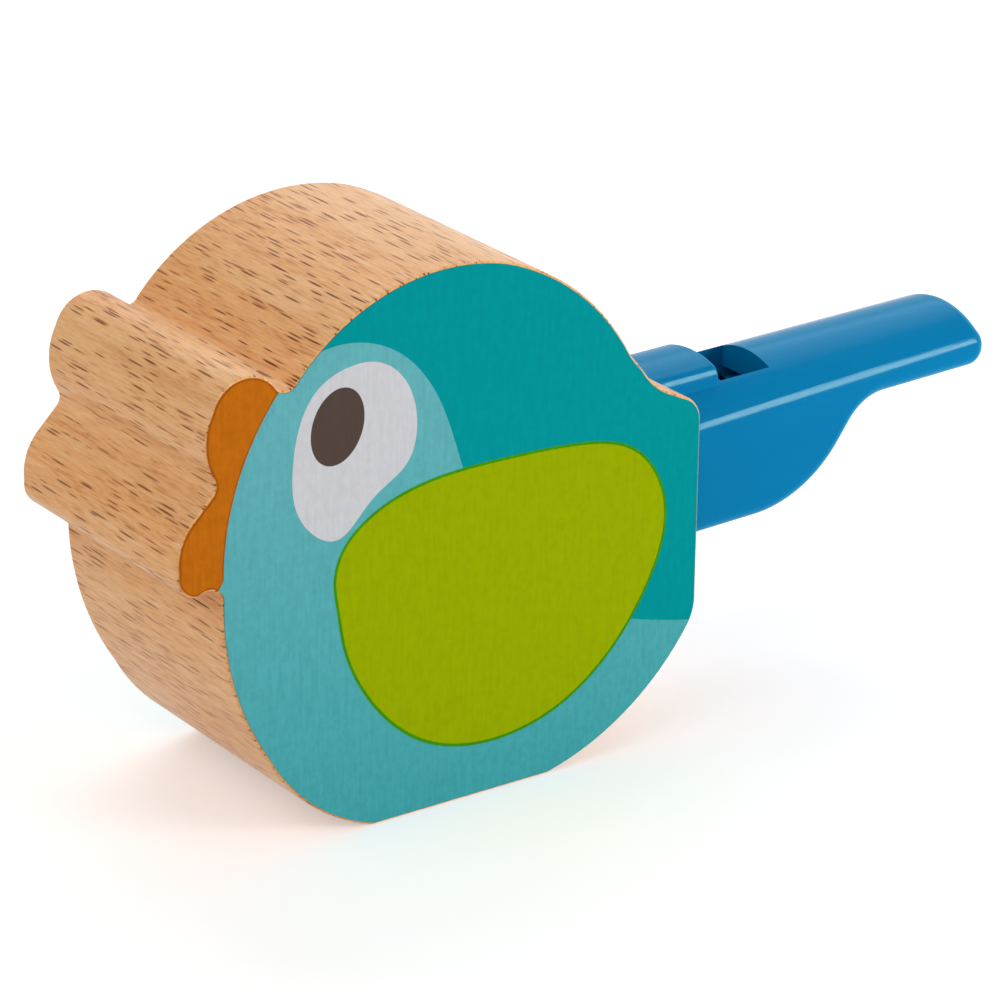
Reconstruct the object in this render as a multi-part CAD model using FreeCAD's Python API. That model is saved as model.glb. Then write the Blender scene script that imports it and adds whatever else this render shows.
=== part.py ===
import FreeCAD, Part
import math
import os

os.makedirs("parts", exist_ok=True)

# Toy bird whistle, beak toward -X, blowing end toward +X, printed sides toward -Y and +Y.
# Millimetres; the flat foot stands on z = 0 and the thickness is centred on y = 0.

# Wooden block
body_height = 59.0          # foot to crown; the whole side profile scales with it
body_thickness = 30.0
edge_round = 0.25           # sanded arris round both side faces
corner_ease = 1.0           # smallest radius the router leaves in the profile
socket_clearance = 0.1
socket_floor_gap = 0.5

scale = body_height / 59.0
foot_front = -11.6 * scale
foot_back = 10.5 * scale
back_face = 29.6 * scale    # upright face that carries the whistle
reach = 4 * body_height     # longer than anything here, for cutters

# Blue whistle, measured in its own frame: u runs out from the back face, w runs up
tail_pitch = 1.3            # degrees, mouth end up
tail_length = 46.65
root_half_width = 8.3
mouth_half_width = 7.3
arch_radius = 10.5
tail_round = 1.6
keel_corner = 21.1          # where the keel floor would meet the slope
slope_corner = 29.0         # where the slope would meet the mouth floor
keel_bend = 15.0
slope_bend = 6.0
mouth_bend = 2.1

# Air chamber, the plug round it and the walls
plug_middle = 26.85 * scale # height of the plug's middle above the foot
plug_depth = 12.0
plug_corner = 3.0
plug_wall = 1.4
plug_roof_wall = 2.2
chamber_height = 9.1
chamber_half_width = 5.6
chamber_floor = plug_middle - (chamber_height + plug_roof_wall - plug_wall) / 2
chamber_roof = chamber_floor + chamber_height
plug_half_width = chamber_half_width + plug_wall
plug_floor = chamber_floor - plug_wall
plug_roof = chamber_roof + plug_roof_wall
keel_wall = 3.1
keel_floor = chamber_floor - keel_wall

# Voicing: the windway blows across the cut-up at the lip
window_end = 18.0           # mouth side of the sound window, where the windway leaves
window_length = 7.3
window_half_width = 4.15
cut_up = 4.6                # from the windway to the lip
lip_land = 0.3
lip_edge = window_end - cut_up
windway_gap = 1.4
windway_flare = 0.7         # extra height at the mouth
windway_mouth_half_width = 4.8
windway_floor = chamber_roof + (lip_land - windway_gap) / 2
windway_roof = windway_floor + windway_gap
mouth_floor_wall = 1.45
mouth_roof_wall = 2.55
mouth_floor = windway_floor - mouth_floor_wall
arch_crown = windway_roof + windway_flare + mouth_roof_wall

# Hood over the chamber
hood_length = window_end - window_length
hood_half_width = 4.7
hood_rise = 1.7
hood_side_round = 1.4
hood_end_round = 0.35

# Print on the two side faces
ink_thickness = 0.12


def place(x, z):
    """Point of the side view, in millimetres."""
    return FreeCAD.Vector(x, 0, z)


def at(x, z):
    """Point of the side profile, in millimetres at the named body height."""
    return place(x * scale, z * scale)


def chain(start, steps):
    """Closed face in the XZ plane from straight steps (end,) and curved steps (via, end)."""
    edges = []
    here = start
    for step in steps:
        end = step[-1]
        if len(step) == 1:
            edges.append(Part.makeLine(here, end))
        else:
            edges.append(Part.Arc(here, step[0], end).toShape())
        here = end
    if here.distanceToPoint(start) > 1e-6:
        edges.append(Part.makeLine(here, start))
    return Part.Face(Part.Wire(edges))


def rounded_face(corners):
    """Face in the XZ plane from (x, z, radius) corners; each radius rounds its own corner."""
    edges = []
    ends = []
    count = len(corners)
    for i in range(count):
        here = place(corners[i][0], corners[i][1])
        before = corners[i - 1]
        after = corners[(i + 1) % count]
        back = (place(before[0], before[1]) - here).normalize()
        ahead = (place(after[0], after[1]) - here).normalize()
        radius = corners[i][2]
        if radius <= 0:
            ends.append((here, here))
            continue
        half = back.getAngle(ahead) / 2
        reach = radius / math.tan(half)
        middle = (back + ahead).normalize()
        centre = here + middle * (radius / math.sin(half))
        first = here + back * reach
        last = here + ahead * reach
        edges.append(Part.Arc(first, centre - middle * radius, last).toShape())
        ends.append((first, last))
    for i in range(count):
        start = ends[i][1]
        end = ends[(i + 1) % count][0]
        if start.distanceToPoint(end) > 1e-6:
            edges.append(Part.makeLine(start, end))
    return Part.Face(Part.Wire(Part.__sortEdges__(edges)))


def across(face, reach):
    """Solid of a side-view face from y = -reach to y = +reach."""
    face = face.copy()
    face.translate(FreeCAD.Vector(0, -reach, 0))
    return face.extrude(FreeCAD.Vector(0, 2 * reach, 0))


def upward(points, floor, roof):
    """Solid of a plan-view polygon between two heights."""
    corners = [FreeCAD.Vector(x, y, floor) for x, y in points]
    face = Part.Face(Part.makePolygon(corners + corners[:1]))
    return face.extrude(FreeCAD.Vector(0, 0, roof - floor))


def block(u_low, u_high, half_width, w_low, w_high):
    corner = FreeCAD.Vector(u_low, -half_width, w_low)
    return Part.makeBox(u_high - u_low, 2 * half_width, w_high - w_low, corner)


def seated(shape):
    """Carry a whistle shape from its own frame to the back face of the block."""
    shape = shape.copy()
    shape.rotate(place(0, plug_middle), FreeCAD.Vector(0, 1, 0), -tail_pitch)
    shape.translate(place(back_face, 0))
    return shape


def body_outline():
    """Side profile of the bird: round belly and head, two-lobed beak, stepped back."""
    return chain(place(foot_front, 0), [
        (place(foot_back, 0),),
        (at(20.0, 4.0), at(28.7, 12.6)),
        (at(29.4, 14.2), place(back_face, 16.2 * scale)),
        (place(back_face, 36.0 * scale),),
        (at(29.0, 37.7), at(27.3, 38.9)),
        (at(25.9, 39.6),),
        (at(23.6, 41.0), at(21.9, 43.0)),
        (at(20.3, 44.9),),
        (at(14.6, 52.2), at(4.6, 58.1)),
        (at(-9.5, 58.0), at(-20.7, 50.7)),
        (at(-21.8, 49.9), at(-23.0, 50.4)),
        (at(-26.9, 52.3), at(-30.5, 49.4)),
        (at(-31.4, 46.0), at(-30.5, 42.4)),
        (at(-30.3, 41.3), at(-30.8, 40.5)),
        (at(-33.0, 38.3),),
        (at(-34.3, 36.2), at(-34.65, 33.3)),
        (at(-34.0, 31.1), at(-32.3, 30.3)),
        (at(-31.0, 30.7), at(-29.6, 29.7)),
        (at(-28.3, 19.1), at(-24.4, 10.7)),
        (at(-18.6, 3.7), place(foot_front, 0)),
    ])


def wooden_block():
    """One slab of the bird's profile with softened edges, before the socket is cut."""
    half = body_thickness / 2
    outline = body_outline().makeOffset2D(-corner_ease)
    outline = outline.makeOffset2D(2 * corner_ease).makeOffset2D(-corner_ease)
    slab = across(outline, half)
    rims = [edge for edge in slab.Edges
            if abs(abs(edge.CenterOfMass.y) - half) < 1e-6
            and abs(edge.BoundBox.YLength) < 1e-6]
    return slab.makeFillet(edge_round, rims)


def plug_shape(grow, depth):
    """Round-cornered plug of the whistle, or its socket when grown by the clearance."""
    half = plug_half_width + grow
    low = plug_floor - grow
    high = plug_roof + grow
    plug = block(-depth, keel_wall, half, low, high)
    long_edges = [edge for edge in plug.Edges if edge.BoundBox.XLength > depth]
    return plug.makeFillet(plug_corner + grow, long_edges)


def tail_profile():
    """Side view: deep keel at the block, S-shaped slope, slim blowing end."""
    return rounded_face([
        (-keel_wall, keel_floor, 0),
        (keel_corner, keel_floor, keel_bend),
        (slope_corner, mouth_floor, slope_bend),
        (tail_length, mouth_floor, mouth_bend),
        (tail_length, arch_crown + hood_rise, 0),
        (-keel_wall, arch_crown + hood_rise, 0),
    ])


def arched(shape, rise):
    """Trim a whistle shape under the round arch that runs along its back."""
    radius = arch_radius + rise
    start = place(-reach / 2, arch_crown - arch_radius)
    barrel = Part.makeCylinder(radius, reach, start, FreeCAD.Vector(1, 0, 0))
    barrel.rotate(start, FreeCAD.Vector(1, 0, 0), 180)
    return shape.common(barrel)


def tail_shell():
    """Outer tail: the side profile, drawn in toward the mouth and arched on top."""
    drawn_in = (root_half_width - mouth_half_width) / tail_length
    root = root_half_width + keel_wall * drawn_in
    plan = upward([(-keel_wall, -root), (tail_length, -mouth_half_width),
                   (tail_length, mouth_half_width), (-keel_wall, root)], 0, reach)
    tail = arched(across(tail_profile(), reach).common(plan), 0)
    rims = [edge for edge in tail.Edges
            if edge.BoundBox.XMax > 0 and abs(edge.CenterOfMass.y) > mouth_half_width / 4]
    tail = tail.makeFillet(tail_round, rims)
    brow = [edge for edge in tail.Edges
            if edge.BoundBox.XMin > tail_length - tail_round / 2
            and abs(edge.CenterOfMass.y) < mouth_half_width / 4
            and edge.BoundBox.ZMin > windway_roof]
    return tail.makeFillet(tail_round, brow)


def hood():
    """Raised roof over the air chamber, well rounded at its sides, ending above the lip."""
    start = -keel_wall
    raised = arched(block(start, hood_length, hood_half_width, chamber_roof, reach),
                    hood_rise)
    sides = [edge for edge in raised.Edges
             if edge.BoundBox.XLength > hood_length and edge.BoundBox.ZMin > arch_crown - 1]
    raised = raised.makeFillet(hood_side_round, sides)
    end = [edge for edge in raised.Edges
           if edge.BoundBox.XMin > hood_length - hood_end_round
           and edge.BoundBox.ZMax > chamber_roof + plug_roof_wall]
    return raised.makeFillet(hood_end_round, end)


def air_chamber():
    """Box-shaped hollow from the open end of the plug to the wall below the windway."""
    return block(-plug_depth - plug_wall, window_end, chamber_half_width, chamber_floor,
                 chamber_roof)


def sound_window():
    """Opening in the roof; its block side slopes down to the lip edge."""
    slope = rounded_face([
        (lip_edge, chamber_roof - plug_wall, 0),
        (window_end, chamber_roof - plug_wall, 0),
        (window_end, reach, 0),
        (hood_length, reach, 0),
        (hood_length, arch_crown, 0),
        (lip_edge, chamber_roof + lip_land, 0),
    ])
    return across(slope, window_half_width)


def windway():
    """Flat slit that narrows from the mouth end to the sound window."""
    inner = window_end - windway_gap / 2
    outer = tail_length + windway_gap / 2
    side = rounded_face([
        (inner, windway_floor, 0),
        (outer, windway_floor, 0),
        (outer, windway_roof + windway_flare, 0),
        (inner, windway_roof, 0),
    ])
    plan = upward([(inner, -window_half_width), (outer, -windway_mouth_half_width),
                   (outer, windway_mouth_half_width), (inner, window_half_width)], 0, reach)
    return across(side, reach).common(plan)


def tail_whistle():
    """The whole blue moulding: tail, hood, plug, chamber, window and windway."""
    outside = seated(tail_shell().fuse(hood()))
    inside_block = block(back_face - reach, back_face, reach, -reach, reach)
    whistle = outside.cut(inside_block).fuse(seated(plug_shape(0, plug_depth)))
    for hollow in (air_chamber(), sound_window(), windway()):
        whistle = whistle.cut(seated(hollow))
    return whistle


def wooden_body():
    socket = seated(plug_shape(socket_clearance, plug_depth + socket_floor_gap))
    return wooden_block().cut(socket)


def closed_curve(points):
    """Smooth closed field edge through a few points of the print."""
    curve = Part.BSplineCurve()
    curve.interpolate([at(x, z) for x, z in points], PeriodicFlag=True)
    return Part.Face(Part.Wire(curve.toShape()))


def eye_white():
    return closed_curve([(-13.4, 51.0), (-8.9, 49.3), (-6.5, 43.7), (-7.6, 39.3),
                         (-11.9, 36.2), (-16.2, 32.75), (-20.0, 35.2), (-21.3, 41.6),
                         (-18.6, 49.0)])


def pupil():
    """Oval leaning toward the crown."""
    lean = math.radians(16)
    major = FreeCAD.Vector(math.sin(lean), 0, math.cos(lean))
    minor = FreeCAD.Vector(-major.z, 0, major.x)
    centre = at(-16.0, 44.85)
    oval = Part.Ellipse(centre + major * 4.1 * scale, centre + minor * 3.1 * scale, centre)
    return Part.Face(Part.Wire(oval.toShape()))


def wing():
    return closed_curve([(-16.4, 26.5), (-15.0, 32.2), (-11.4, 34.9), (-3.3, 37.0),
                         (5.0, 37.2), (13.4, 36.8), (21.4, 34.3), (25.3, 27.1),
                         (23.3, 19.0), (11.8, 7.5), (3.7, 5.7), (-4.5, 7.3),
                         (-11.1, 12.6), (-15.2, 20.1)])


def back_field():
    """Everything above the line that sweeps from the brow, under the wing, to the back."""
    sweep = Part.BSplineCurve()
    sweep.interpolate([at(x, z) for x, z in [
        (-22.0, 51.0), (-15.3, 53.4), (-9.0, 51.4), (-4.2, 46.0), (-0.8, 37.0),
        (6.0, 24.0), (21.5, 15.1), (40.0, 12.0)]])
    edges = [sweep.toShape(),
             Part.makeLine(at(40.0, 12.0), at(40.0, 70.0)),
             Part.makeLine(at(40.0, 70.0), at(-22.0, 70.0)),
             Part.makeLine(at(-22.0, 70.0), at(-22.0, 51.0))]
    return Part.Face(Part.Wire(edges))


def beak_field():
    """Everything in front of the arc that carries the round of the body on."""
    return chain(at(-22.3, 50.6), [
        (at(-28.7, 38.0), at(-29.42, 31.6)),
        (at(-31.5, 28.0),),
        (at(-45.0, 28.0),),
        (at(-45.0, 60.0),),
        (at(-22.3, 60.0),),
    ])


def ink_fields():
    """Six butted fields of ink on the side toward -Y, each as thin as a coat of print."""
    half = body_thickness / 2
    faces = [face for face in wooden_block().Faces
             if face.CenterOfMass.y < -half + 1e-6 and face.BoundBox.YLength < 1e-6]
    sheet = faces[0].extrude(FreeCAD.Vector(0, -ink_thickness, 0))
    pupil_cut = across(pupil(), 2 * half)
    eye_cut = across(eye_white(), 2 * half)
    wing_cut = across(wing(), 2 * half)
    back_cut = across(back_field(), 2 * half)
    beak_cut = across(beak_field(), 2 * half)
    rest = sheet.cut(beak_cut).cut(wing_cut).cut(eye_cut)
    return {
        "beak_print": sheet.common(beak_cut),
        "wing_print": sheet.common(wing_cut),
        "eye_white_print": sheet.common(eye_cut).cut(pupil_cut),
        "pupil_print": sheet.common(pupil_cut),
        "back_print": rest.common(back_cut),
        "belly_print": rest.cut(back_cut),
    }


def save(name, shape):
    shape.exportStep("parts/" + name + ".step")


save("wooden_body", wooden_body())
save("tail_whistle", tail_whistle())
for field, shape in ink_fields().items():
    save("left_" + field, shape)
    other_side = shape.mirror(FreeCAD.Vector(0, 0, 0), FreeCAD.Vector(0, 1, 0))
    save("right_" + field, other_side)
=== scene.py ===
import logging
import math
from dataclasses import dataclass
from enum import Enum

import bmesh
import bpy
from mathutils import Matrix, Vector


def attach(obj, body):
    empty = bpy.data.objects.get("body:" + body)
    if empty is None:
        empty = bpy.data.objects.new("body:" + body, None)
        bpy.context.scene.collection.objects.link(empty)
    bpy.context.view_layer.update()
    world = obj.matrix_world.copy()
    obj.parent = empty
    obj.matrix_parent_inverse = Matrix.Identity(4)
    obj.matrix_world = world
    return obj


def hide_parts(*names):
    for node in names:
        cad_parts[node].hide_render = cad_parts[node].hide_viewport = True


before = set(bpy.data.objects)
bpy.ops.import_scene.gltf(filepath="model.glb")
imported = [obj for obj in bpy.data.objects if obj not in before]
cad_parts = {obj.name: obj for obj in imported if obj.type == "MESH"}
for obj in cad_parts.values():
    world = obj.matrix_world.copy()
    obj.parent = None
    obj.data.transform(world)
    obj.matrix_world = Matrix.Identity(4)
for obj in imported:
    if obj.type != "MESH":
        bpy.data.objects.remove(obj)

# A toy bird whistle: a slice of beech moulding with the bird printed on both sides,
# and a blue moulded whistle plugged into its back as the tail. Metres throughout,
# except for the sizes and depths that say millimetres.

log = logging.getLogger("bird_whistle")
MM = 0.001

Triple = tuple[float, float, float]
Paint = tuple[int, int, int]
Socket = bpy.types.NodeSocket


def colour(red: int, green: int, blue: int) -> tuple[float, float, float, float]:
    """Turn a colour as a paint card gives it, 0 to 255, into the scene's linear light."""
    def straight(value: int) -> float:
        """One channel without the screen's curve."""
        part = value / 255
        return part / 12.92 if part <= 0.04045 else ((part + 0.055) / 1.055) ** 2.4
    return straight(red), straight(green), straight(blue), 1.0


def direction(azimuth: float, elevation: float) -> Vector:
    """Unit vector from the toy toward an azimuth and an elevation in degrees."""
    turn = math.radians(azimuth)
    rise = math.radians(elevation)
    return Vector((math.sin(turn) * math.cos(rise), -math.cos(turn) * math.cos(rise),
                   math.sin(rise)))


class Side(Enum):
    """The two printed faces, each with the way its print looks out along Y."""

    LEFT = ("left", -1)
    RIGHT = ("right", 1)

    @property
    def label(self) -> str:
        """First word of the side's node names."""
        return self.value[0]

    @property
    def outward(self) -> int:
        """Sign of the print's outward normal along Y."""
        return self.value[1]


class NodeBench:
    """Short calls for laying out and joining shader nodes."""

    def __init__(self, tree: bpy.types.NodeTree) -> None:
        """Take the node tree to work on."""
        self.tree = tree

    def add(self, kind: str, **settings: object) -> bpy.types.Node:
        """Add a node.

        Args:
            kind: Node type without its ShaderNode beginning.
            settings: Plain properties of the node.

        Returns:
            The new node.
        """
        node = self.tree.nodes.new("ShaderNode" + kind)
        for name, value in settings.items():
            setattr(node, name, value)
        return node

    def join(self, source: Socket, target: Socket) -> None:
        """Link an output to an input."""
        self.tree.links.new(source, target)

    def feed(self, target: Socket, value: object) -> None:
        """Link a socket to the target, or set the target to a plain value."""
        if isinstance(value, Socket):
            self.join(value, target)
        else:
            target.default_value = value

    def sums(self, operation: str, first: object, second: object = 0.0,
             third: object = 0.0, clamp: bool = False) -> Socket:
        """Add a Math node.

        Args:
            operation: Blender's name of the sum.
            first: First value or socket.
            second: Second value or socket.
            third: Third value or socket.
            clamp: Keep the result between 0 and 1.

        Returns:
            The node's output.
        """
        node = self.add("Math", operation=operation, use_clamp=clamp)
        for socket, value in zip(node.inputs, (first, second, third)):
            self.feed(socket, value)
        return node.outputs[0]

    def place(self) -> Socket:
        """The piece's own coordinates."""
        return self.add("TexCoord").outputs["Object"]

    def axes(self) -> bpy.types.bpy_prop_collection:
        """X, Y and Z of the piece's own coordinates."""
        parts = self.add("SeparateXYZ")
        self.join(self.place(), parts.inputs["Vector"])
        return parts.outputs

    def stretched(self, size: Triple) -> Socket:
        """The piece's own coordinates, measured in a length of their own.

        Args:
            size: That length along X, Y and Z, in millimetres.

        Returns:
            The vector output.
        """
        mapping = self.add("Mapping")
        mapping.inputs["Scale"].default_value = tuple(1 / (part * MM) for part in size)
        self.join(self.place(), mapping.inputs["Vector"])
        return mapping.outputs["Vector"]

    def noise(self, size: Triple, detail: float = 2.0, roughness: float = 0.5) -> Socket:
        """Soft noise.

        Args:
            size: Size of its blots along X, Y and Z, in millimetres.
            detail: Finer layers on top.
            roughness: Share of the finer layers.

        Returns:
            The value output.
        """
        node = self.add("TexNoise")
        node.inputs["Scale"].default_value = 1.0
        node.inputs["Detail"].default_value = detail
        node.inputs["Roughness"].default_value = roughness
        self.join(self.stretched(size), node.inputs["Vector"])
        return node.outputs["Fac"]

    def between(self, value: Socket, low: float, high: float,
                to_low: float = 0.0, to_high: float = 1.0) -> Socket:
        """Smoothly spread the part of a value from low to high over a new range.

        Args:
            value: What to spread.
            low: Value that becomes to_low.
            high: Value that becomes to_high.
            to_low: Lower end of the result.
            to_high: Upper end of the result.

        Returns:
            The value output.
        """
        node = self.add("MapRange", interpolation_type="SMOOTHSTEP")
        for socket, part in zip(node.inputs, (value, low, high, to_low, to_high)):
            self.feed(socket, part)
        return node.outputs["Result"]

    def blend(self, share: object, first: object, second: object,
              kind: str = "MIX") -> Socket:
        """Mix two colours.

        Args:
            share: How much of the second.
            first: First colour or socket.
            second: Second colour or socket.
            kind: Blender's name of the mix.

        Returns:
            The colour output.
        """
        node = self.add("Mix", data_type="RGBA", blend_type=kind)
        self.feed(node.inputs["Factor"], share)
        self.feed(node.inputs["A"], first)
        self.feed(node.inputs["B"], second)
        return node.outputs["Result"]


def effect(name: str, inputs: dict[str, float],
           output: str) -> tuple[NodeBench, dict[str, Socket], Socket]:
    """Start an effect that several finishes share.

    Args:
        name: Name of the node group.
        inputs: Input names with their usual values.
        output: Name of its one output.

    Returns:
        The bench, the group's inputs by name, and the socket that takes the result.
    """
    tree = bpy.data.node_groups.new(name, "ShaderNodeTree")
    for label, value in inputs.items():
        socket = tree.interface.new_socket(label, in_out="INPUT", socket_type="NodeSocketFloat")
        socket.default_value = value
    tree.interface.new_socket(output, in_out="OUTPUT", socket_type="NodeSocketFloat")
    start = tree.nodes.new("NodeGroupInput")
    end = tree.nodes.new("NodeGroupOutput")
    return NodeBench(tree), {label: start.outputs[label] for label in inputs}, end.inputs[output]


@dataclass(frozen=True)
class Layer:
    """One layer of noise: blot size in millimetres, detail, roughness and weight."""

    size: Triple
    detail: float
    roughness: float
    weight: float


FIBRES = (Layer((0.24, 3.2, 0.24), 2.0, 0.7, 0.68), Layer((1.1, 22, 1.1), 2.0, 0.5, 0.32))
END_GRAIN = (Layer((0.45, 5, 4.5), 1.0, 0.5, 0.4), Layer((0.8, 5, 1.1), 3.0, 0.65, 0.6))
SHORT_FLECK = (0.37, 4.9, 0.37)
LONG_FLECK = (0.75, 10.5, 0.75)
GRIT = (0.16, 0.16, 0.16)


class Effects:
    """Effects that the finishes share, each built once and then reused."""

    def __init__(self) -> None:
        """Build every effect."""
        self.short_flecks = self.ray_flecks("short_ray_flecks", SHORT_FLECK)
        self.long_flecks = self.ray_flecks("long_ray_flecks", LONG_FLECK)
        self.fibres = self.layered("fibre_streaks", "Streak", FIBRES)
        self.end_grain = self.layered("end_grain_lines", "Tone", END_GRAIN)
        self.grit = self.fine_grit()

    @staticmethod
    def ray_flecks(name: str, cell: Triple) -> bpy.types.NodeTree:
        """Dark spindles of the wood rays, which lie along the fibres.

        Args:
            name: Name of the effect.
            cell: Room for one spindle along X, Y and Z, in millimetres.

        Returns:
            The node group.
        """
        least_size, size_range = 0.6, 0.5
        least_tone, tone_range = 0.6, 0.4
        edge, core = 1.0, 0.75
        bench, inputs, result = effect(name, {"Radius": 0.3, "Share": 0.8}, "Mask")
        cells = bench.add("TexVoronoi", feature="F1", voronoi_dimensions="3D")
        cells.inputs["Scale"].default_value = 1.0
        bench.join(bench.stretched(cell), cells.inputs["Vector"])
        chance = bench.add("SeparateColor")
        bench.join(cells.outputs["Color"], chance.inputs["Color"])
        used = bench.sums("LESS_THAN", chance.outputs["Red"], inputs["Share"])
        size = bench.sums("MULTIPLY_ADD", chance.outputs["Green"], size_range, least_size)
        reach = bench.sums("MULTIPLY", size, inputs["Radius"])
        inside = bench.sums("DIVIDE", cells.outputs["Distance"], reach)
        solid = bench.between(inside, edge, core)
        tone = bench.sums("MULTIPLY_ADD", chance.outputs["Blue"], tone_range, least_tone)
        bench.join(bench.sums("MULTIPLY", bench.sums("MULTIPLY", solid, used), tone), result)
        return bench.tree

    @staticmethod
    def layered(name: str, output: str, layers: tuple[Layer, ...]) -> bpy.types.NodeTree:
        """Layers of noise that swing about one half, for fibres and for end grain.

        Args:
            name: Name of the effect.
            output: Name of its output.
            layers: The layers, whose weights add up to one.

        Returns:
            The node group.
        """
        bench, inputs, result = effect(name, {"Contrast": 1.0}, output)
        total = 0.0
        for layer in layers:
            noise = bench.noise(layer.size, layer.detail, layer.roughness)
            total = bench.sums("MULTIPLY_ADD", noise, layer.weight, total)
        swing = bench.sums("SUBTRACT", total, 0.5)
        bench.join(bench.sums("MULTIPLY_ADD", swing, inputs["Contrast"], 0.5), result)
        return bench.tree

    @staticmethod
    def fine_grit() -> bpy.types.NodeTree:
        """Fine even roughness of a printed or moulded surface."""
        bench, inputs, result = effect("fine_grit", {"Depth": 1.0}, "Height")
        grit = bench.noise(GRIT, roughness=0.6)
        bench.join(bench.sums("MULTIPLY", grit, inputs["Depth"]), result)
        return bench.tree


@dataclass(frozen=True)
class Finish:
    """What every finish has: a name and the shine of its surface."""

    name: str
    roughness: float
    specular: float

    def start(self) -> tuple[bpy.types.Material, NodeBench, bpy.types.Node]:
        """Open a new material.

        Returns:
            The material, its bench and its surface shader.
        """
        material = bpy.data.materials.new(self.name)
        material.use_nodes = True
        surface = material.node_tree.nodes["Principled BSDF"]
        surface.inputs["Roughness"].default_value = self.roughness
        surface.inputs["Specular IOR Level"].default_value = self.specular
        return material, NodeBench(material.node_tree), surface

    def uneven(self, bench: NodeBench, pattern: Socket, swing: float) -> Socket:
        """Roughness that swings about the finish's own.

        Args:
            bench: The material's bench.
            pattern: Where it is rougher, 0 to 1.
            swing: Difference between the roughest and the smoothest spot.

        Returns:
            The roughness.
        """
        return bench.sums("MULTIPLY_ADD", pattern, swing, self.roughness - swing / 2)

    @staticmethod
    def shared(bench: NodeBench, tree: bpy.types.NodeTree, socket: str,
               value: float) -> Socket:
        """Put a shared effect in this material.

        Args:
            bench: The material's bench.
            tree: The effect.
            socket: Name of the input to set.
            value: Its value.

        Returns:
            The effect's output.
        """
        node = bench.add("Group", node_tree=tree)
        node.inputs[socket].default_value = value
        return node.outputs[0]

    @staticmethod
    def raised(bench: NodeBench, surface: bpy.types.Node, height: Socket,
               strength: float, depth: float) -> None:
        """Give the surface a relief.

        Args:
            bench: The material's bench.
            surface: The surface shader.
            height: The relief, 0 to 1.
            strength: Share of the relief that shows.
            depth: Depth of the relief in millimetres.
        """
        bump = bench.add("Bump")
        bump.inputs["Strength"].default_value = strength
        bump.inputs["Distance"].default_value = depth * MM
        bench.join(height, bump.inputs["Height"])
        bench.join(bump.outputs["Normal"], surface.inputs["Normal"])


@dataclass(frozen=True)
class Beech(Finish):
    """Sanded bare beech: warm bands, fine fibres and dark ray flecks along Y.

    Sizes and heights are in millimetres. Edges say between which values of a pattern its
    colour comes in.
    """

    roughness: float = 0.4
    specular: float = 0.18
    pale: Paint = (240, 184, 125)
    warm: Paint = (237, 172, 107)
    light: Paint = (249, 203, 148)
    streak: Paint = (196, 118, 58)
    fleck: Paint = (94, 32, 0)
    band_size: Triple = (9, 60, 7)
    band_edges: tuple[float, float] = (0.35, 0.65)
    heart_size: Triple = (3.5, 55, 3.5)
    heart_edges: tuple[float, float] = (0.6, 0.78)
    heart_share: float = 0.3
    fibre_contrast: float = 2.8
    dark_edges: tuple[float, float] = (0.45, 1.05)
    light_edges: tuple[float, float] = (0.5, -0.05)
    fibre_share: float = 0.7
    short_radius: float = 0.31
    long_radius: float = 0.175
    crowd_size: Triple = (7, 40, 7)
    crowd_edges: tuple[float, float] = (0.35, 0.6)
    crowd_least: float = 0.7
    calm_heights: tuple[float, float] = (16, 32)
    calm_least: float = 0.5
    halo_radius: float = 0.43
    halo_share: float = 0.6
    dust: float = 0.14
    dust_roughness: float = 0.4
    swing: float = 0.16
    fleck_dullness: float = 0.2
    fibre_height: float = 0.6
    relief: tuple[float, float] = (0.35, 0.06)

    def make(self, effects: Effects) -> bpy.types.Material:
        """Build the material.

        Args:
            effects: The shared effects.

        Returns:
            The beech material.
        """
        material, bench, surface = self.start()
        surface.inputs["Sheen Weight"].default_value = self.dust
        surface.inputs["Sheen Roughness"].default_value = self.dust_roughness
        streak = colour(*self.streak)
        bands = bench.between(bench.noise(self.band_size), *self.band_edges)
        wood = bench.blend(bands, colour(*self.warm), colour(*self.pale))
        heart = bench.between(bench.noise(self.heart_size, 1.0), *self.heart_edges,
                              to_high=self.heart_share)
        wood = bench.blend(heart, wood, streak)
        fibres = self.shared(bench, effects.fibres, "Contrast", self.fibre_contrast)
        dark = bench.between(fibres, *self.dark_edges, to_high=self.fibre_share)
        wood = bench.blend(dark, wood, streak)
        light = bench.between(fibres, *self.light_edges, to_high=self.fibre_share)
        wood = bench.blend(light, wood, colour(*self.light))
        halo = self.shared(bench, effects.short_flecks, "Radius", self.halo_radius)
        wood = bench.blend(bench.sums("MULTIPLY", halo, self.halo_share), wood, streak)
        marks = self.marks(bench, effects)
        wood = bench.blend(marks, wood, colour(*self.fleck))
        bench.join(wood, surface.inputs["Base Color"])
        dull = bench.sums("MULTIPLY_ADD", marks, self.fleck_dullness,
                          self.uneven(bench, fibres, self.swing))
        bench.join(dull, surface.inputs["Roughness"])
        height = bench.sums("SUBTRACT", bench.sums("MULTIPLY", fibres, self.fibre_height), marks)
        self.raised(bench, surface, height, *self.relief)
        return material

    def marks(self, bench: NodeBench, effects: Effects) -> Socket:
        """Mask of the ray flecks, which come in crowds and are fewer toward the foot.

        Args:
            bench: The material's bench.
            effects: The shared effects.

        Returns:
            The mask.
        """
        short = self.shared(bench, effects.short_flecks, "Radius", self.short_radius)
        long = self.shared(bench, effects.long_flecks, "Radius", self.long_radius)
        crowd = bench.between(bench.noise(self.crowd_size, 1.0), *self.crowd_edges,
                              to_low=self.crowd_least)
        marks = bench.sums("MULTIPLY", bench.sums("MAXIMUM", short, long), crowd)
        low, high = self.calm_heights
        calm = bench.between(bench.axes()["Z"], low * MM, high * MM, to_low=self.calm_least)
        return bench.sums("MULTIPLY", marks, calm)


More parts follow.
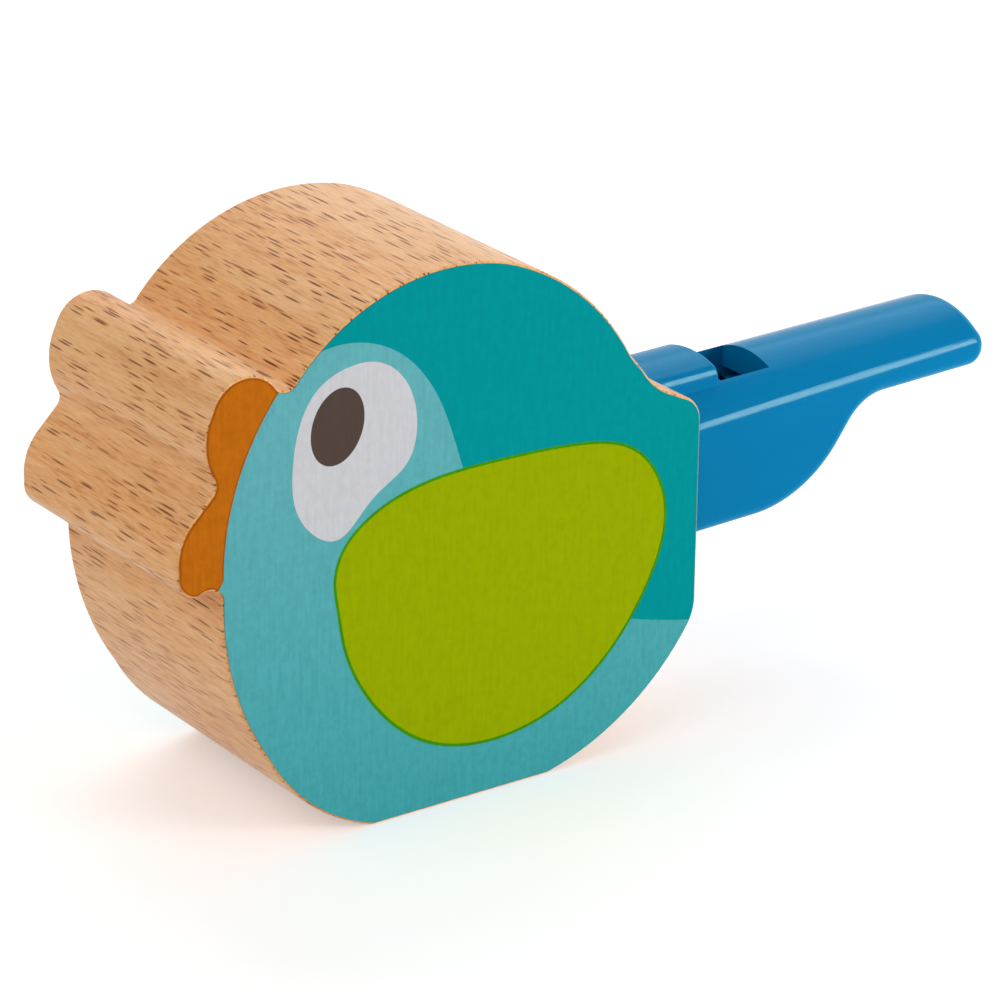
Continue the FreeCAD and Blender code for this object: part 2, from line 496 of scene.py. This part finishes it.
@dataclass(frozen=True)
class Ink(Finish):
    """Screen-printed colour on end grain, thin enough for the grain to show.

    A foot tint is the colour at the foot, from which the ink turns to its own colour at
    foot_reach millimetres up.
    """

    roughness: float = 0.6
    specular: float = 0.02
    tint: Paint = (128, 128, 128)
    show_through: float = 0.12
    foot_tint: Paint | None = None
    foot_reach: float = 46
    grain_contrast: float = 2.4
    swing: float = 0.12
    grit: float = 0.5
    relief: tuple[float, float] = (0.25, 0.04)

    def make(self, effects: Effects) -> bpy.types.Material:
        """Build the material.

        Args:
            effects: The shared effects.

        Returns:
            The ink material.
        """
        material, bench, surface = self.start()
        coat = colour(*self.tint)
        if self.foot_tint:
            up = bench.sums("DIVIDE", bench.axes()["Z"], self.foot_reach * MM, clamp=True)
            coat = bench.blend(up, colour(*self.foot_tint), coat)
        grain = self.shared(bench, effects.end_grain, "Contrast", self.grain_contrast)
        level = bench.between(grain, 0.0, 1.0, 1 - self.show_through, 1 + self.show_through)
        shade = bench.add("CombineColor")
        for channel in shade.inputs[:3]:
            bench.join(level, channel)
        bench.join(bench.blend(1.0, coat, shade.outputs["Color"], "MULTIPLY"),
                   surface.inputs["Base Color"])
        bench.join(self.uneven(bench, grain, self.swing), surface.inputs["Roughness"])
        grit = self.shared(bench, effects.grit, "Depth", self.grit)
        self.raised(bench, surface, bench.sums("ADD", grit, grain), *self.relief)
        return material


@dataclass(frozen=True)
class BluePlastic(Finish):
    """Moulded plastic with a faint flow mottle, scuffed gloss, a painted sheen toward its outline
    and painted shade in the air chamber.

    The painted shade room is the air chamber's room along X, Y and Z, and sizes are in
    millimetres too.
    """

    roughness: float = 0.17
    specular: float = 0.035
    body: Paint = (0, 124, 177)
    deep: Paint = (0, 120, 173)
    # painted sheen: the lighter blue that the colour turns to where the surface is seen edge-on,
    # for the reflection along the outline
    rim: Paint = (0, 140, 193)
    # painted shade: the dark colour given to the air chamber's walls, for the dark of the recess
    shade: Paint = (0, 22, 40)
    painted_shade_room: tuple[tuple[float, float], ...] = ((15.0, 47.7), (-5.7, 5.7), (21.0, 31.0))
    flow_size: Triple = (26, 9, 9)
    flow_edges: tuple[float, float] = (0.3, 0.7)
    rim_edges: tuple[float, float] = (0.3, 0.7)
    scuff_size: Triple = (1.6, 1.6, 1.6)
    swing: float = 0.1
    relief: tuple[float, float] = (0.08, 0.02)

    def make(self, effects: Effects) -> bpy.types.Material:
        """Build the material.

        Args:
            effects: The shared effects.

        Returns:
            The plastic material.
        """
        material, bench, surface = self.start()
        flow = bench.between(bench.noise(self.flow_size), *self.flow_edges)
        tint = bench.blend(flow, colour(*self.deep), colour(*self.body))
        # painted sheen: the colour lightens toward the outline, where the surface is seen edge-on
        slant = bench.add("LayerWeight")
        slant.inputs["Blend"].default_value = 0.5
        away = bench.between(slant.outputs["Facing"], *self.rim_edges)
        tint = bench.blend(away, tint, colour(*self.rim))
        # painted shade: within the chamber's room the colour turns to the painted shade colour
        bench.join(bench.blend(self.inside(bench), tint, colour(*self.shade)),
                   surface.inputs["Base Color"])
        scuff = bench.noise(self.scuff_size, 3.0, 0.6)
        bench.join(self.uneven(bench, scuff, self.swing), surface.inputs["Roughness"])
        grit = self.shared(bench, effects.grit, "Depth", 1.0)
        self.raised(bench, surface, grit, *self.relief)
        return material

    def inside(self, bench: NodeBench) -> Socket:
        """Mask of the painted shade in the air chamber, 1 within its walls.

        Args:
            bench: The material's bench.

        Returns:
            The mask.
        """
        mask = 1.0
        for along, (low, high) in zip(bench.axes(), self.painted_shade_room):
            above = bench.sums("GREATER_THAN", along, low * MM)
            below = bench.sums("LESS_THAN", along, high * MM)
            mask = bench.sums("MULTIPLY", bench.sums("MULTIPLY", above, below), mask)
        return mask


def dress(piece: bpy.types.Object, *materials: bpy.types.Material) -> None:
    """Give a piece its materials, in the order of its slots.

    Args:
        piece: The piece.
        materials: One material for each slot.
    """
    for place, material in enumerate(materials):
        if place < len(piece.material_slots):
            piece.material_slots[place].material = material
        else:
            piece.data.materials.append(material)
    for slot in piece.material_slots[len(materials):]:
        slot.material = materials[0]


@dataclass
class WoodenBody:
    """The bird's body: one slice of beech moulding with the whistle's socket."""

    node: str = "wooden_body"

    def build(self, wood: bpy.types.Material) -> None:
        """Dress the block in bare beech."""
        dress(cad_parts[self.node], wood)
        log.info("%s: bare beech", self.node)


@dataclass
class PrintedSide:
    """The bird's print on one face of the block."""

    side: Side
    wing_line: float = 0.34 * MM
    beak_line: float = 0.18 * MM
    merge_reach: float = 1e-7
    facing: float = 0.99

    def build(self, inks: dict[str, bpy.types.Material]) -> None:
        """Dress the plain fields and draw the lined ones.

        Args:
            inks: The ink materials by name.
        """
        plain = {"belly_print": "turquoise", "back_print": "teal",
                 "eye_white_print": "white", "pupil_print": "brown"}
        for field, ink in plain.items():
            name = f"{self.side.label}_{field}"
            dress(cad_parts[name], inks[ink])
            log.info("%s: %s ink", name, ink)
        self.lined("wing_print", self.wing_line, inks["lime"], inks["wing_line"])
        self.lined("beak_print", self.beak_line, inks["orange"], inks["beak_line"])

    def lined(self, field: str, line: float, ink: bpy.types.Material,
              edge: bpy.types.Material) -> None:
        """Rebuild a field with the darker line that overprinting leaves at its edge.

        Args:
            field: The field's name without its side.
            line: Width of the line in metres.
            ink: Material of the field.
            edge: Material of the line.
        """
        name = f"{self.side.label}_{field}"
        form = bmesh.new()
        form.from_mesh(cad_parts[name].data)
        bmesh.ops.remove_doubles(form, verts=form.verts, dist=self.merge_reach)
        form.normal_update()
        front = [face for face in form.faces
                 if face.normal.y * self.side.outward > self.facing]
        for face in form.faces:
            face.material_index = 0
            face.smooth = False
        joined = bmesh.ops.dissolve_faces(form, faces=front, use_verts=False)
        ring = bmesh.ops.inset_region(form, faces=joined["region"], thickness=line,
                                      use_boundary=True, use_even_offset=True)
        for face in ring["faces"]:
            face.material_index = 1
        bmesh.ops.triangulate(form, faces=form.faces)
        mesh = bpy.data.meshes.new(f"{self.side.label}_{field.replace('print', 'field')}")
        form.to_mesh(mesh)
        form.free()
        piece = bpy.data.objects.new(mesh.name, mesh)
        bpy.context.scene.collection.objects.link(piece)
        dress(piece, ink, edge)
        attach(piece, "root")
        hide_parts(name)
        log.info("%s: field with a %.2f mm line", piece.name, line / MM)


@dataclass
class TailWhistle:
    """The blue moulding: tail, hood, plug, air chamber and windway in one piece."""

    node: str = "tail_whistle"

    def build(self, plastic: bpy.types.Material) -> None:
        """Dress the moulding in blue plastic."""
        dress(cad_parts[self.node], plastic)
        log.info("%s: blue plastic", self.node)


class Glow(Enum):
    """What a lamp does: light the colours, show as a shine, or both."""

    COLOUR = "colour"
    SHINE = "shine"
    BOTH = "both"


@dataclass
class Lamp:
    """One soft box, placed by its direction from the toy.

    With names in only, it lights those CAD nodes and nothing else.
    """

    name: str
    azimuth: float
    elevation: float
    power: float
    width: float
    height: float
    part: Glow = Glow.BOTH
    tone: Triple = (1.0, 1.0, 1.0)
    only: tuple[str, ...] = ()
    distance: float = 0.7

    def build(self, target: Vector) -> None:
        """Hang the lamp.

        Args:
            target: Point that it faces.
        """
        away = direction(self.azimuth, self.elevation)
        light = bpy.data.lights.new(self.name, "AREA")
        light.shape = "RECTANGLE"
        light.size = self.width
        light.size_y = self.height
        light.energy = self.power
        light.color = self.tone
        lamp = bpy.data.objects.new(self.name, light)
        lamp.location = target + away * self.distance
        lamp.visible_glossy = self.part is not Glow.COLOUR
        lamp.visible_diffuse = self.part is not Glow.SHINE
        lamp.rotation_mode = "QUATERNION"
        lamp.rotation_quaternion = (-away).to_track_quat("-Z", "Y")
        bpy.context.scene.collection.objects.link(lamp)
        if self.only:
            reach = bpy.data.collections.new(self.name + "_reach")
            for node in self.only:
                reach.objects.link(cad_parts[node])
            lamp.light_linking.receiver_collection = reach
        log.info("%s: soft box", self.name)


LAMPS = (
    Lamp("key_box", azimuth=36, elevation=13, power=2.8, width=0.3, height=0.3,
         part=Glow.COLOUR),
    Lamp("edge_strip", azimuth=40, elevation=27, power=26.0, width=0.28, height=0.4,
         part=Glow.SHINE, tone=(0.62, 1.0, 0.88), only=("tail_whistle",)),
    Lamp("front_box", azimuth=-80, elevation=42, power=1.25, width=0.6, height=0.5),
    Lamp("back_box", azimuth=150, elevation=45, power=1.9, width=0.7, height=0.5),
)


@dataclass
class Studio:
    """White sweep, soft boxes and the camera.

    The lifts are the floor's glow near the toy and far from it, which only the camera, a
    shine and clear matter see, so that it looks white all the way.
    """

    middle: Triple = (0.02, 0.0, 0.03)
    floor_size: float = 6.0
    floor_tone: float = 0.9
    floor_roughness: float = 0.9
    floor_lift: float = 0.36
    far_lift: float = 0.67
    lift_reach: tuple[float, float] = (0.2, 1.3)
    sky: float = 0.38
    eye: Triple = (-0.24964, -0.36889, 0.20953)
    azimuth: float = -35.618
    elevation: float = 22.123
    roll: float = 0.745
    lens: float = 165.86
    sensor: float = 36
    nearest: float = 0.01

    def build(self) -> None:
        """Set up floor, light and camera."""
        self.floor()
        self.world()
        for lamp in LAMPS:
            lamp.build(Vector(self.middle))
        self.camera()

    @staticmethod
    def looked_at(bench: NodeBench) -> Socket:
        """1 where the camera, a shine or clear matter looks, 0 for the light itself."""
        path = bench.add("LightPath")
        seen = bench.sums("MAXIMUM", path.outputs["Is Camera Ray"], path.outputs["Is Glossy Ray"])
        return bench.sums("MAXIMUM", seen, path.outputs["Is Transmission Ray"])

    def floor(self) -> None:
        """Lay the floor, which looks white but keeps the toy's shadow."""
        form = bmesh.new()
        bmesh.ops.create_grid(form, x_segments=1, y_segments=1, size=self.floor_size / 2)
        mesh = bpy.data.meshes.new("floor")
        form.to_mesh(mesh)
        form.free()
        floor = bpy.data.objects.new("floor", mesh)
        bpy.context.scene.collection.objects.link(floor)
        material = bpy.data.materials.new("floor_paint")
        material.use_nodes = True
        bench = NodeBench(material.node_tree)
        paint = material.node_tree.nodes["Principled BSDF"]
        paint.inputs["Base Color"].default_value = (self.floor_tone,) * 3 + (1.0,)
        paint.inputs["Roughness"].default_value = self.floor_roughness
        paint.inputs["Specular IOR Level"].default_value = 0.0
        paint.inputs["Emission Color"].default_value = (1.0, 1.0, 1.0, 1.0)
        reach = bench.add("VectorMath", operation="LENGTH")
        bench.join(bench.place(), reach.inputs[0])
        lift = bench.between(reach.outputs["Value"], *self.lift_reach,
                             self.floor_lift, self.far_lift)
        bench.join(bench.sums("MULTIPLY", self.looked_at(bench), lift),
                   paint.inputs["Emission Strength"])
        dress(floor, material)
        log.info("floor: pale paint")

    def world(self) -> None:
        """Light the room evenly, with a white backdrop for the camera and for gloss."""
        world = bpy.data.worlds.new("studio")
        world.use_nodes = True
        bpy.context.scene.world = world
        bench = NodeBench(world.node_tree)
        glow = world.node_tree.nodes["Background"]
        glow.inputs["Color"].default_value = (1.0, 1.0, 1.0, 1.0)
        seen = self.looked_at(bench)
        lit = bench.sums("MULTIPLY_ADD", seen, 1.0 - self.sky, self.sky)
        bench.join(lit, glow.inputs["Strength"])
        log.info("world: even light at %.2f", self.sky)

    def camera(self) -> None:
        """Place the camera where the photograph was taken."""
        back = direction(self.azimuth, self.elevation)
        right = (-back).cross(Vector((0, 0, 1))).normalized()
        up = right.cross(-back)
        angle = math.radians(self.roll)
        across = right * math.cos(angle) + up * math.sin(angle)
        upward = up * math.cos(angle) - right * math.sin(angle)
        camera = bpy.data.objects.new("camera", bpy.data.cameras.new("camera"))
        camera.data.sensor_width = self.sensor
        camera.data.lens = self.lens
        camera.data.clip_start = self.nearest
        camera.matrix_world = Matrix.Translation(self.eye) @ Matrix(
            (across, upward, back)).transposed().to_4x4()
        bpy.context.scene.collection.objects.link(camera)
        bpy.context.scene.camera = camera
        log.info("camera: in place")


INKS = {
    "turquoise": Ink("turquoise_ink", tint=(96, 172, 178), show_through=0.09,
                     foot_tint=(64, 161, 167)),
    "teal": Ink("teal_ink", tint=(0, 144, 149), show_through=0.055),
    "orange": Ink("orange_ink", tint=(188, 103, 16), show_through=0.11),
    "lime": Ink("lime_ink", tint=(148, 166, 0), show_through=0.07),
    "white": Ink("white_ink", tint=(201, 201, 205), show_through=0.055),
    "brown": Ink("brown_ink", tint=(82, 68, 60), show_through=0.05),
    "wing_line": Ink("green_overprint", tint=(62, 142, 12)),
    "beak_line": Ink("brown_overprint", tint=(163, 84, 10)),
}


def main() -> None:
    """Dress the toy, then set up the studio."""
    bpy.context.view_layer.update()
    effects = Effects()
    inks = {name: ink.make(effects) for name, ink in INKS.items()}
    WoodenBody().build(Beech("bare_beech").make(effects))
    for side in Side:
        PrintedSide(side).build(inks)
    TailWhistle().build(BluePlastic("blue_plastic").make(effects))
    Studio().build()
    scene = bpy.context.scene
    scene.view_settings.view_transform = "Standard"


if __name__ == "__main__":
    logging.basicConfig(level=logging.INFO, format="%(message)s")
    main()
